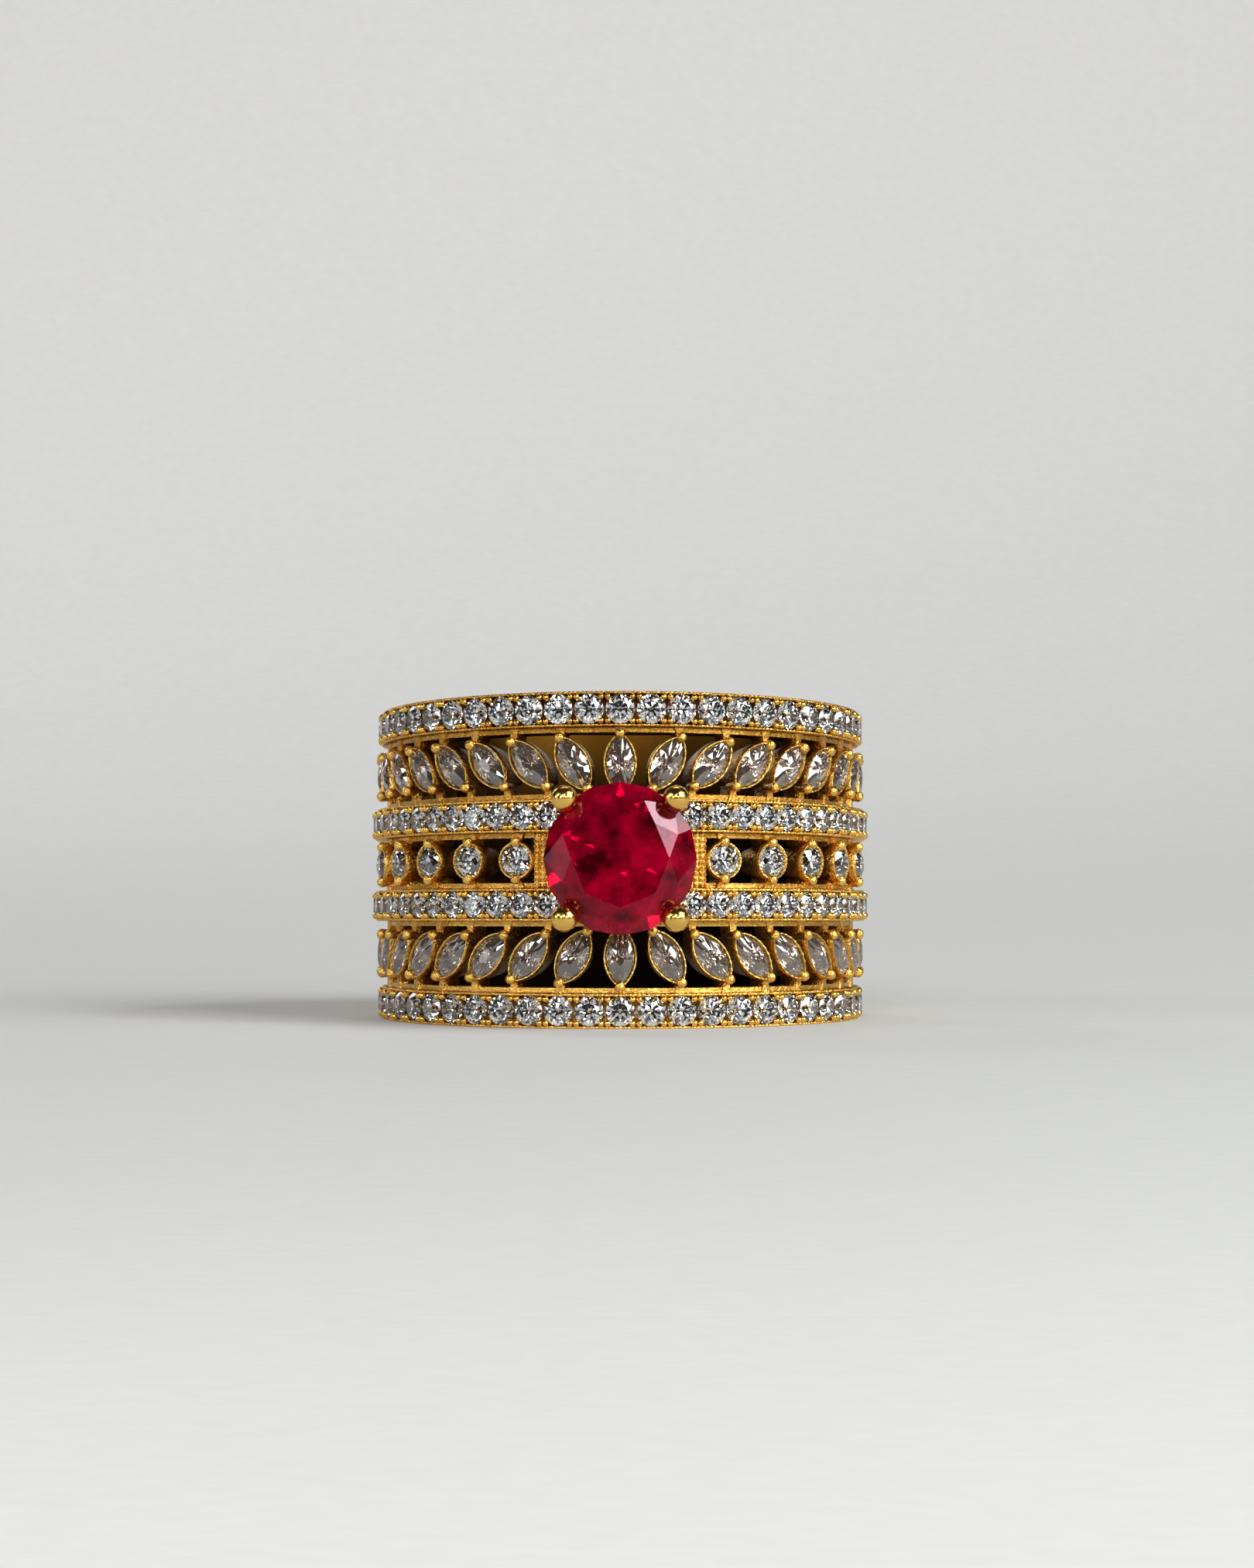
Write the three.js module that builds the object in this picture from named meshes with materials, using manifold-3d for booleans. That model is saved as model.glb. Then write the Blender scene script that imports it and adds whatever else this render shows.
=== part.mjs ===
// A wide openwork cocktail ring lying on its lower edge, as on a jeweller's cloth.
// Four pave rails run round the front and sides. Marquise stones fan out between the outer pairs of
// rails, round stones stand between the inner pair, a claw head holds the ruby, and a plain shank
// closes the palm side.
//
// Millimetres. The finger hole's axis is close to +Z and the ruby faces -Y. The origin is on the surface
// that the ring rests on, under the middle of its outline.
import * as THREE from "three";
import { ConvexGeometry } from "three/addons/geometries/ConvexGeometry.js";
import { mergeVertices } from "three/addons/utils/BufferGeometryUtils.js";
import Module from "manifold-3d";

const wasm = await Module();
wasm.setup();

// Driving dimensions.
const FINGER_RADIUS = 8.65; // a 17.3 mm finger hole, US size 7
const GAP = 0.03; // between neighbouring pieces
const ARC_STEPS = 24; // straight steps round the decorated part of the band
const DECOR_ANGLE = 95.8; // the decoration ends this far either side of the ruby, in degrees

const EDGE_RAIL = { radius: 10.45, middle: 6.45, width: 1.5 };
const INNER_RAIL = { radius: 10.7, middle: 1.9, width: 1.4 };
const GROOVE_DEPTH = 0.62; // the channel that a row of pave stones is set in
const LIP = 0.1; // the wall each side of that channel
const BAND_EDGE = EDGE_RAIL.middle + EDGE_RAIL.width / 2;

const STRIP = { width: 0.14, clear: 0.1 }; // the openwork's border strips, which stop short of the bore
const COLLET = { depth: 1.55, narrowed: [0.78, 0.84], hole: [0.55, 0.6] }; // [wide, long] left at the foot
const POST = { wide: 0.46, deep: 1.15, radius: 9.5 };

// The band narrows towards the palm between two flat planes, so that it lies flat on its lower edge.
const TAPER = 0.08; // share of the width that is lost between the front and the sides
const TAPER_RADIUS = 10.6;
const LEAN = Math.atan((BAND_EDGE * TAPER) / TAPER_RADIUS);

const MARQUISE = { long: 2.4, wide: 1.16, crown: 0.17, pavilion: 0.5 };
const MARQUISE_ROW = { radius: 10.35, middle: 4.13, pitch: 11, perSide: 8, collet: 0.11 };
const FAN_LIMIT = 45; // the outer marquises lean this far, in degrees
const FAN_RATE = 1.05; // how soon the lean reaches that limit, per stone

const SIDE_STONE = { long: 1.36, wide: 1.36, crown: 0.2, pavilion: 0.58 };
const SIDE_ROW = { radius: 10.55, first: 24.7, pitch: 13, perSide: 5, collet: 0.11 };

const PAVE_STONE = { crown: 0.17, pavilion: 0.44, overlap: 1.03 };
const EDGE_PAVE = { pitch: 7.35, perSide: 12 };
const INNER_PAVE = { pitch: 6.3, first: 17, perSide: 12 };

const RUBY = { radius: 3.25, table: 2.15, crown: 0.8, pavilion: 2.72, girdle: 0.1, height: 12.45 };
const CLAW = { count: 4, wire: 0.4, tip: 0.53, foot: 2.1, spread: 3.46, rise: 0.34 };
const COLLAR = { inner: 1.75, outer: 2.4, height: 0.55 };
const HEAD_SEAT = { radius: 2.5, height: 10.3, halfAngle: 14.5 }; // the flat seat milled for the collar
const FLOOR = { halfAngle: 16, thickness: 0.4 }; // under the ruby, between the inner rails
const BRIDGE = { from: 15.2, to: 20.4, clear: 0.3, sunk: 0.2 }; // the plates beside the ruby

const SHANK = { start: DECOR_ANGLE + 0.2, crest: 10.3, shoulder: 9.8 };

const GOLD = { color: 0xd9a441, metalness: 1, roughness: 0.25 };
const DIAMOND = { color: 0xe8e4e6, metalness: 0, roughness: 0.05 };
const RUBY_RED = { color: 0x9b0026, metalness: 0, roughness: 0.08 };

const degrees = THREE.MathUtils.degToRad;
const countFrom = (first, last) => Array.from({ length: last - first + 1 }, (_, i) => first + i);

// ---- solids ----

// A three.js geometry as a manifold-3d solid.
function solid(geometry) {
  const bare = new THREE.BufferGeometry().setAttribute("position", geometry.getAttribute("position"));
  if (geometry.index) bare.setIndex(geometry.index);
  const merged = mergeVertices(bare, 1e-5);
  const mesh = new wasm.Mesh({
    numProp: 3,
    vertProperties: merged.attributes.position.array,
    triVerts: new Uint32Array(merged.index.array),
  });
  return new wasm.Manifold(mesh);
}

// A manifold-3d solid as a three.js geometry.
function geometryOf(made) {
  const mesh = made.getMesh();
  const positions = new Float32Array(mesh.numVert * 3);
  for (let i = 0; i < mesh.numVert; i++) {
    positions.set(mesh.vertProperties.subarray(i * mesh.numProp, i * mesh.numProp + 3), i * 3);
  }
  return new THREE.BufferGeometry()
    .setAttribute("position", new THREE.BufferAttribute(positions, 3))
    .setIndex(new THREE.BufferAttribute(mesh.triVerts, 1));
}

const joined = (solids) => solids.reduce((all, one) => all.add(one));

// How much of its front height the band keeps at the depth y.
const keptHeight = (y) => 1 - TAPER * (1 + y / TAPER_RADIUS);

// Narrows a straight-sided geometry between the band's two tapering planes.
function tapered(geometry) {
  const position = geometry.getAttribute("position");
  for (let i = 0; i < position.count; i++) {
    position.setZ(i, position.getZ(i) * keptHeight(position.getY(i)));
  }
  return geometry;
}

// A block between two radii, two angles from the front and two heights.
function arcBlock(inner, outer, from, to, low, high) {
  const front = -Math.PI / 2;
  const shape = new THREE.Shape();
  shape.absarc(0, 0, outer, front + degrees(from), front + degrees(to), false);
  shape.absarc(0, 0, inner, front + degrees(to), front + degrees(from), true);
  const curveSegments = Math.max(2, Math.round((ARC_STEPS * (to - from)) / (2 * DECOR_ANGLE)));
  const block = new THREE.ExtrudeGeometry(shape, { depth: high - low, bevelEnabled: false, curveSegments });
  return tapered(block.translate(0, 0, low));
}

// The frame of a stone or collet: x runs round the band, y up its width and z out of the finger.
function seatMatrix(angle, radius, height, lean = 0) {
  const a = degrees(angle);
  const round = new THREE.Vector3(Math.cos(a), Math.sin(a), 0);
  const up = new THREE.Vector3(0, 0, 1);
  const out = new THREE.Vector3(Math.sin(a), -Math.cos(a), 0);
  const place = out.clone().multiplyScalar(radius);
  place.z = height * keptHeight(place.y);
  return new THREE.Matrix4()
    .makeBasis(round, up, out)
    .setPosition(place)
    .multiply(new THREE.Matrix4().makeRotationZ(degrees(lean)));
}

// ---- outlines of the stones ----

// A six-cornered outline with a point at the top and bottom. `corner` is how far up its side corners are.
const sixSided = (corner) => (long, wide, depth) => {
  const corners = [[0, 1], [1, corner], [1, -corner], [0, -1], [-1, -corner], [-1, corner]];
  return corners.map(([x, y]) => new THREE.Vector3((wide * x) / 2, (long * y) / 2, depth));
};
const marquiseOutline = sixSided(0.3);
const roundOutline = sixSided(0.5);

// A cut stone: its table, its girdle at depth 0 and its culet.
function cutStone(outline, stone) {
  const table = outline(stone.long * 0.58, stone.wide * 0.58, stone.crown);
  const girdle = outline(stone.long, stone.wide, 0);
  return new ConvexGeometry([...table, ...girdle, new THREE.Vector3(0, 0, -stone.pavilion)]);
}

// A collet: a cup that narrows towards the finger, with a tapering hole that lets light in from behind.
function collet(outline, stone, wall, matrix) {
  const { depth, narrowed, hole } = COLLET;
  const open = [stone.long + 2 * GAP, stone.wide + 2 * GAP];
  const outer = open.map((size) => size + 2 * wall);
  const cup = new ConvexGeometry([
    ...outline(...outer, 0),
    ...outline(outer[0] * narrowed[1], outer[1] * narrowed[0], -depth),
  ]);
  const cutter = new ConvexGeometry([
    ...outline(open[0] * 1.03, open[1] * 1.03, 0.1),
    ...outline(open[0] * hole[1], open[1] * hole[0], -depth - 0.1),
  ]);
  return solid(cup.applyMatrix4(matrix)).subtract(solid(cutter.applyMatrix4(matrix)));
}

// A post between two heights, from a collet's tip to the strip beside the neighbouring rail.
function post(angle, from, to) {
  const matrix = seatMatrix(angle, POST.radius, (from + to) / 2);
  const kept = keptHeight(new THREE.Vector3().setFromMatrixPosition(matrix).y);
  const block = new THREE.BoxGeometry(POST.wide, Math.abs(to - from) * kept, POST.deep);
  return solid(block.applyMatrix4(matrix));
}

// ---- the band ----

// The arc that a rail's section is swept along, at the finger hole's wall.
class BandArc extends THREE.Curve {
  getPoint(t, target = new THREE.Vector3()) {
    const a = degrees(DECOR_ANGLE * (2 * t - 1));
    return target.set(FINGER_RADIUS * Math.sin(a), -FINGER_RADIUS * Math.cos(a), 0);
  }
}

// A rail, with the channel for its pave stones. The section's x points down and its y into the finger hole.
function rail({ radius, middle, width }, side) {
  const height = radius - FINGER_RADIUS;
  const floor = height - GROOVE_DEPTH;
  const half = width / 2;
  const wall = half - LIP;
  const outline = [
    [-half, 0], [half, 0], [half, height], [wall, height],
    [wall, floor], [-wall, floor], [-wall, height], [-half, height],
  ];
  const section = new THREE.Shape(outline.map(([z, out]) => new THREE.Vector2(-side * middle - z, -out)));
  const bar = new THREE.ExtrudeGeometry(section, { steps: ARC_STEPS, extrudePath: new BandArc() });
  return solid(tapered(bar));
}

// An inner rail, which is solid where the ruby's head stands on it.
function innerRail(side) {
  const { radius, middle, width } = INNER_RAIL;
  const { halfAngle } = HEAD_SEAT;
  const low = side * middle - width / 2;
  const block = solid(arcBlock(FINGER_RADIUS, radius, -halfAngle, halfAngle, low, low + width));
  return rail(INNER_RAIL, side).add(block).subtract(headSeat());
}

// The room that the ruby head's collar takes in the band.
function headSeat() {
  const tall = 3;
  const plug = new THREE.CylinderGeometry(HEAD_SEAT.radius, HEAD_SEAT.radius, tall, 16);
  return solid(plug.translate(0, -(HEAD_SEAT.height + tall / 2), 0));
}

// One row of pave stones, which touch at their girdles.
function paveRow(railSize, side, angles, pitch) {
  const radius = railSize.radius - 0.08;
  const wide = 2 * radius * Math.tan(degrees(pitch / 2)) * PAVE_STONE.overlap;
  const long = (railSize.width - 2 * (LIP + GAP)) * keptHeight(0);
  const stone = { long, wide, crown: PAVE_STONE.crown, pavilion: PAVE_STONE.pavilion };
  return joined(
    angles.map((angle) =>
      solid(cutStone(roundOutline, stone).applyMatrix4(seatMatrix(angle, radius, side * railSize.middle))),
    ),
  );
}

// How far the marquise at place `step` leans away from upright: it fans out fast, then settles.
const fanAngle = (step) => Math.sign(step) * FAN_LIMIT * (1 - Math.exp(-FAN_RATE * Math.abs(step)));

const marquiseSteps = countFrom(-MARQUISE_ROW.perSide, MARQUISE_ROW.perSide);

function marquiseSeat(step, side) {
  const { pitch, radius, middle } = MARQUISE_ROW;
  return seatMatrix(step * pitch, radius, side * middle, -side * fanAngle(step));
}

// Two border strips the length of a window between two rails, which tie its collets together.
function borders(outer, low, high) {
  const inner = FINGER_RADIUS + STRIP.clear;
  return [
    solid(arcBlock(inner, outer, -DECOR_ANGLE, DECOR_ANGLE, low + GAP, low + GAP + STRIP.width)),
    solid(arcBlock(inner, outer, -DECOR_ANGLE, DECOR_ANGLE, high - GAP - STRIP.width, high - GAP)),
  ];
}

// The collets of one fan of marquises, with their posts and border strips.
function marquiseGallery(side) {
  const { radius, middle, pitch } = MARQUISE_ROW;
  const nearest = INNER_RAIL.middle + INNER_RAIL.width / 2;
  const furthest = EDGE_RAIL.middle - EDGE_RAIL.width / 2;
  const low = side > 0 ? nearest : -furthest;
  const high = side > 0 ? furthest : -nearest;
  const pieces = borders(radius - 0.25, low, high);
  const tip = MARQUISE.long / 2;
  const strip = GAP + STRIP.width / 2;
  for (const step of marquiseSteps) {
    const lean = degrees(fanAngle(step));
    const shift = THREE.MathUtils.radToDeg((tip * Math.sin(lean)) / radius);
    const rise = tip * Math.cos(lean);
    pieces.push(collet(marquiseOutline, MARQUISE, MARQUISE_ROW.collet, marquiseSeat(step, side)));
    pieces.push(post(step * pitch + shift, side * (middle + rise), side * (furthest - strip)));
    pieces.push(post(step * pitch - shift, side * (middle - rise), side * (nearest + strip)));
  }
  return joined(pieces);
}

const sideAngles = countFrom(0, SIDE_ROW.perSide - 1).map((i) => SIDE_ROW.first + i * SIDE_ROW.pitch);

// The round collets each side of the ruby, the engraved bridge plates and the floor that joins them.
function middleGallery() {
  const { radius } = SIDE_ROW;
  const edge = INNER_RAIL.middle - INNER_RAIL.width / 2;
  const [low, high] = [GAP - edge, edge - GAP];
  const top = FINGER_RADIUS + FLOOR.thickness;
  const floor = arcBlock(FINGER_RADIUS, top, -FLOOR.halfAngle, FLOOR.halfAngle, low, high);
  const pieces = [...borders(radius - 0.35, -edge, edge), solid(floor)];
  const reach = SIDE_STONE.long / 2;
  const strip = edge - GAP - STRIP.width / 2;
  for (const hand of [-1, 1]) {
    const [from, to] = [BRIDGE.from, BRIDGE.to].map((angle) => hand * angle).sort((a, b) => a - b);
    const [inner, outer] = [FINGER_RADIUS + BRIDGE.clear, radius - BRIDGE.sunk];
    pieces.push(solid(arcBlock(inner, outer, from, to, low, high)));
    for (const angle of sideAngles) {
      pieces.push(collet(roundOutline, SIDE_STONE, SIDE_ROW.collet, seatMatrix(hand * angle, radius, 0)));
      pieces.push(post(hand * angle, reach, strip));
      pieces.push(post(hand * angle, -reach, -strip));
    }
  }
  return joined(pieces).subtract(headSeat());
}

// The plain shank: a barrel that is domed outside and as tall as the band all the way round.
function palmShank() {
  const { start, crest, shoulder } = SHANK;
  const dome = countFrom(-3, 3).map((i) => {
    const share = i / 3;
    return new THREE.Vector2(crest - (crest - shoulder) * share ** 2, BAND_EDGE * share);
  });
  const low = new THREE.Vector2(FINGER_RADIUS, -BAND_EDGE);
  const high = new THREE.Vector2(FINGER_RADIUS, BAND_EDGE);
  const barrel = new THREE.LatheGeometry([low, ...dome, high, low], 40).rotateX(Math.PI / 2);
  const end = BAND_EDGE + 1;
  const back = arcBlock(FINGER_RADIUS - 1, crest + 1, start, 360 - start, -end, end);
  return solid(tapered(barrel)).intersect(solid(back));
}

// ---- the ruby and its head ----

const headMatrix = () => seatMatrix(0, RUBY.height, 0);

// A round mixed-cut stone, larger all round by `more`.
function rubySolid(more = 0) {
  const { radius, table, crown, pavilion, girdle } = RUBY;
  const profile = [
    new THREE.Vector2(0, -pavilion - more),
    new THREE.Vector2(radius + more, -girdle / 2 - more / 2),
    new THREE.Vector2(radius + more, girdle / 2 + more / 2),
    new THREE.Vector2(table + more, crown + more),
    new THREE.Vector2(0, crown + more),
  ];
  const stone = new THREE.LatheGeometry(profile, 16, Math.PI / 16).rotateX(Math.PI / 2);
  return solid(stone.applyMatrix4(headMatrix()));
}

// The head: a collar on the band with four claws that bend over the ruby's edge.
function rubyHead() {
  const foot = HEAD_SEAT.height + GAP - RUBY.height;
  const { inner, outer, height } = COLLAR;
  const ring = [[inner, foot], [outer, foot], [outer, foot + height], [inner, foot + height], [inner, foot]];
  const collar = new THREE.LatheGeometry(ring.map(([r, z]) => new THREE.Vector2(r, z)), 16);
  const pieces = [solid(collar.rotateX(Math.PI / 2))];
  for (let i = 0; i < CLAW.count; i++) {
    const turn = new THREE.Matrix4().makeRotationZ((Math.PI / 2) * (i + 0.5));
    const low = new THREE.Vector3(CLAW.foot, 0, foot + height / 2);
    const top = new THREE.Vector3(CLAW.spread, 0, CLAW.rise);
    const run = top.clone().sub(low);
    const wire = new THREE.CylinderGeometry(CLAW.wire, CLAW.wire, run.length(), 8);
    const upright = new THREE.Vector3(0, 1, 0);
    wire.applyQuaternion(new THREE.Quaternion().setFromUnitVectors(upright, run.normalize()));
    wire.translate(...low.add(top).multiplyScalar(0.5).toArray());
    const tip = new THREE.IcosahedronGeometry(CLAW.tip, 1).translate(...top.toArray());
    pieces.push(solid(wire.applyMatrix4(turn)), solid(tip.applyMatrix4(turn)));
  }
  const matrix = headMatrix();
  return solid(geometryOf(joined(pieces)).applyMatrix4(matrix)).subtract(rubySolid(GAP));
}

// ---- the assembly ----

const ring = new THREE.Group();

function add(name, geometry, finish, matrix) {
  const mesh = new THREE.Mesh(geometry, new THREE.MeshStandardMaterial(finish));
  mesh.name = name;
  if (matrix) mesh.applyMatrix4(matrix);
  ring.add(mesh);
}

const sides = [["upper", 1], ["lower", -1]];
const hands = [["left", -1], ["right", 1]];

for (const [level, side] of sides) {
  add(`${level}_edge_rail`, geometryOf(rail(EDGE_RAIL, side)), GOLD);
  add(`${level}_inner_rail`, geometryOf(innerRail(side)), GOLD);
  add(`${level}_marquise_gallery`, geometryOf(marquiseGallery(side)), GOLD);

  const perEdge = countFrom(-EDGE_PAVE.perSide, EDGE_PAVE.perSide);
  const edgeAngles = perEdge.map((i) => i * EDGE_PAVE.pitch);
  add(`${level}_edge_pave`, geometryOf(paveRow(EDGE_RAIL, side, edgeAngles, EDGE_PAVE.pitch)), DIAMOND);

  for (const [hand, sign] of hands) {
    const { first, pitch, perSide } = INNER_PAVE;
    const angles = countFrom(0, perSide).map((i) => sign * (first + i * pitch));
    add(`${level}_inner_pave_${hand}`, geometryOf(paveRow(INNER_RAIL, side, angles, pitch)), DIAMOND);
  }

  for (const step of marquiseSteps) {
    const place = step === 0 ? "centre" : `${step < 0 ? "left" : "right"}_${Math.abs(step)}`;
    add(`${level}_marquise_${place}`, cutStone(marquiseOutline, MARQUISE), DIAMOND, marquiseSeat(step, side));
  }
}

for (const [hand, sign] of hands) {
  sideAngles.forEach((angle, i) => {
    const seat = seatMatrix(sign * angle, SIDE_ROW.radius, 0);
    add(`side_stone_${hand}_${i + 1}`, cutStone(roundOutline, SIDE_STONE), DIAMOND, seat);
  });
}

add("middle_gallery", geometryOf(middleGallery()), GOLD);
add("palm_shank", geometryOf(palmShank()), GOLD);
add("ruby_head", geometryOf(rubyHead()), GOLD);
add("centre_ruby", geometryOf(rubySolid()), RUBY_RED);

// The ring leans back until the plane of its lower edge is level, and stands on it.
ring.rotation.x = -LEAN;
const outline = new THREE.Box3().setFromObject(ring, true);
ring.position.set(0, -(outline.min.y + outline.max.y) / 2, -outline.min.z);

const model = new THREE.Group();
model.add(ring);

export default model;
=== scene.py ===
# %% [markdown]
# # A gold cocktail ring, surface by surface
#
# The ring is a wide band of openwork. Four narrow rails carry rows of small round stones. Between the outer
# pairs of rails two fans of marquise stones stand in deep collets, like rays round the ruby in the middle.
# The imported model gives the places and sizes. This script gives each piece the surface that a goldsmith and
# a stone cutter would give it. Every new piece is an array of points worked out from a formula.

# %% Load the frame
import bpy
import numpy as np
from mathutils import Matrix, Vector


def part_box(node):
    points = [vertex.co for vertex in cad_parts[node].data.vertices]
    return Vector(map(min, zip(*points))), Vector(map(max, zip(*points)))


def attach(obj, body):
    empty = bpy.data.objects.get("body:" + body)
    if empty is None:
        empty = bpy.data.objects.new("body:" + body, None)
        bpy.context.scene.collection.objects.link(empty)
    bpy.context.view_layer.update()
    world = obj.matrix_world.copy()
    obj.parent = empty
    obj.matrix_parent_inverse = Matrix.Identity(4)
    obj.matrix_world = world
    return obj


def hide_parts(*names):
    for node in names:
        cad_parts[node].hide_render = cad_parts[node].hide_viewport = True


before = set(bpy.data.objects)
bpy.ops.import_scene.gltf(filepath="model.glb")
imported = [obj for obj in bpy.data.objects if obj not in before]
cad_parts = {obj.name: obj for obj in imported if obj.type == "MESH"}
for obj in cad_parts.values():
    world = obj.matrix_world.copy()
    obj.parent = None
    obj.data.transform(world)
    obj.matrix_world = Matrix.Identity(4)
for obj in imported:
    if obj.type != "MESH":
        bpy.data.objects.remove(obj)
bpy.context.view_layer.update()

# %% [markdown]
# ## The ring's own frame
#
# It is easiest to think of a ring in its own frame: the finger hole's axis is z, the ruby faces -y, and
# an angle of 0 degrees is at the ruby. The band gets narrower towards the palm between two flat planes, so
# it can lie flat on its lower edge, and then the whole ring leans back by a few degrees. Working upright
# and leaning the points at the very end keeps every formula short. All sizes here are in millimetres.

# %% The band's sizes
FINGER_RADIUS = 8.65
DECOR_ANGLE = 95.8
LIP = 0.11
GROOVE_DEPTH = 0.6
EDGE_RAIL = {"radius": 10.45, "middle": 6.45, "width": 1.5}
INNER_RAIL = {"radius": 10.7, "middle": 1.9, "width": 1.4}
BAND_EDGE = EDGE_RAIL["middle"] + EDGE_RAIL["width"] / 2
TAPER = 0.08
TAPER_RADIUS = 10.6
LEAN = np.arctan(BAND_EDGE * TAPER / TAPER_RADIUS)
MM = 0.001


def kept(y):
    """How much of its front height the band keeps at depth y: one at the front, falling evenly with depth."""
    return 1 - TAPER * (1 + y / TAPER_RADIUS)


def narrowed(points):
    """Multiplies each point's height by what the band keeps at its depth."""
    return points * np.stack([np.ones_like(points[..., 1])] * 2 + [kept(points[..., 1])], axis=-1)


# The front bottom edge of the lower rail is the frame's lowest y. Its place says where the ring's axis is.
front = EDGE_RAIL["radius"]
rail_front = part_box("lower_edge_rail")[0][1] / MM
AXIS_Y = rail_front + front * np.cos(LEAN) + BAND_EDGE * kept(-front) * np.sin(LEAN)
AXIS_Z = BAND_EDGE * (1 - TAPER) * np.cos(LEAN)
print(f"the finger hole's axis is {AXIS_Y:.3f} mm behind the origin")
print(f"the ring leans {np.degrees(LEAN):.2f} degrees")


def to_frame(points):
    """Turns ring points into frame points: a turn about x by the lean, a move, and millimetres to metres."""
    x, y, z = np.moveaxis(points, -1, 0)
    leaned = [x, y * np.cos(LEAN) + z * np.sin(LEAN) + AXIS_Y, z * np.cos(LEAN) - y * np.sin(LEAN) + AXIS_Z]
    return np.stack(leaned, axis=-1) * MM


# %% [markdown]
# ## Shells
#
# A shell here is a pair: an array of points, and a list of arrays of faces that share one number of corners.
# Blender has primitives and curve objects that could make most of these forms, but arrays are quicker, and
# the same few helpers serve a bead and a whole rail. Each closed shell is turned to face outwards by the
# sign of its volume: a shell whose faces point inwards has a negative volume, so its faces are reversed.

# %% Helpers for shells
def grid_faces(rows, columns, wrap_rows=False):
    """Four-cornered faces between neighbouring rows of points. Columns always close into rings."""
    row = np.arange(rows if wrap_rows else rows - 1)[:, None]
    column = np.arange(columns)[None, :]
    below = (row + 1) % rows * columns
    beside = (column + 1) % columns
    corners = [row * columns + column, row * columns + beside, below + beside, below + column]
    return np.stack(corners, axis=-1).reshape(-1, 4)


def outward(points, faces):
    """Reverses the faces if the volume under them, summed over fans of triangles, is negative."""
    volume = 0.0
    for group in faces:
        first = points[group[:, 0]]
        for k in range(1, group.shape[1] - 1):
            volume += np.einsum("ij,ij->", first, np.cross(points[group[:, k]], points[group[:, k + 1]]))
    return (points, faces) if volume > 0 else (points, [group[:, ::-1] for group in faces])


def loft(rings, loop=False):
    """A skin through an array of rings by points by 3. It loops, or has a cap at each end."""
    count, size = rings.shape[:2]
    faces = [grid_faces(count, size, loop)]
    if not loop:
        ends = np.arange(size)
        faces.append(np.stack([ends[::-1], ends + (count - 1) * size]))
    return outward(rings.reshape(-1, 3), faces)


def lathe(profile, sides):
    """Turns a list of (radius, height) about the z axis: x = r cos a, y = r sin a."""
    radius, height = np.array(profile, dtype=float).T
    turn = np.arange(sides) * 2 * np.pi / sides
    rings = np.stack([
        radius[:, None] * np.cos(turn),
        radius[:, None] * np.sin(turn),
        np.repeat(height[:, None], sides, axis=1),
    ], axis=-1)
    return loft(rings)


def seats(angles, radius, heights=0.0, leans=0.0):
    """Places on the band: centres, and axes whose rows are x round the band, y up it and z out of it."""
    angles, radius, heights, leans = np.broadcast_arrays(
        *[np.atleast_1d(np.asarray(value, dtype=float)) for value in (angles, radius, heights, leans)])
    turn, lean = np.radians(angles), np.radians(leans)[:, None]
    zero = np.zeros_like(turn)
    out = np.stack([np.sin(turn), -np.cos(turn), zero], axis=-1)
    across = np.stack([np.cos(turn), np.sin(turn), zero], axis=-1)
    up = np.array([0.0, 0.0, 1.0])
    centres = out * radius[:, None]
    centres[:, 2] = heights * kept(centres[:, 1])
    axes = [across * np.cos(lean) + up * np.sin(lean), up * np.cos(lean) - across * np.sin(lean), out]
    return centres, np.stack(axes, axis=1)


def copies(shell, places, scale=1.0):
    """One shell copied to every place: centre plus scaled local point times the place's axes."""
    points, faces = shell
    centres, axes = places
    scale = np.broadcast_to(scale, len(centres))[:, None, None]
    placed = centres[:, None, :] + (points[None] * scale) @ axes
    steps = np.arange(len(centres))[:, None, None] * len(points)
    return placed.reshape(-1, 3), [(group[None] + steps).reshape(-1, group.shape[1]) for group in faces]


def make_piece(name, shells, material, nodes, faceted=False):
    """Joins shells into one mesh, which rides on the ring and stands for the CAD nodes it is given."""
    starts = np.cumsum([0] + [len(points) for points, _ in shells])
    groups = [group + start for (_, faces), start in zip(shells, starts) for group in faces]
    sizes = np.concatenate([np.full(len(group), group.shape[1]) for group in groups])
    corners = np.concatenate([group.ravel() for group in groups])
    points = to_frame(np.concatenate([points for points, _ in shells]))
    mesh = bpy.data.meshes.new(name)
    mesh.vertices.add(len(points))
    mesh.loops.add(len(corners))
    mesh.polygons.add(len(sizes))
    mesh.vertices.foreach_set("co", points.ravel().astype(np.float32))
    mesh.loops.foreach_set("vertex_index", corners.astype(np.int32))
    mesh.polygons.foreach_set("loop_start", (np.cumsum(sizes) - sizes).astype(np.int32))
    mesh.update(calc_edges=True)
    mesh.validate()
    if faceted:
        mesh.shade_flat()
    else:
        mesh.shade_smooth()
        mesh.set_sharp_from_angle(angle=np.radians(38))
    mesh.materials.append(material)
    piece = bpy.data.objects.new(name, mesh)
    bpy.context.collection.objects.link(piece)
    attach(piece, "root")
    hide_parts(*nodes)
    print(f"{name}: {len(points)} points, {len(sizes)} faces")
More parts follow.
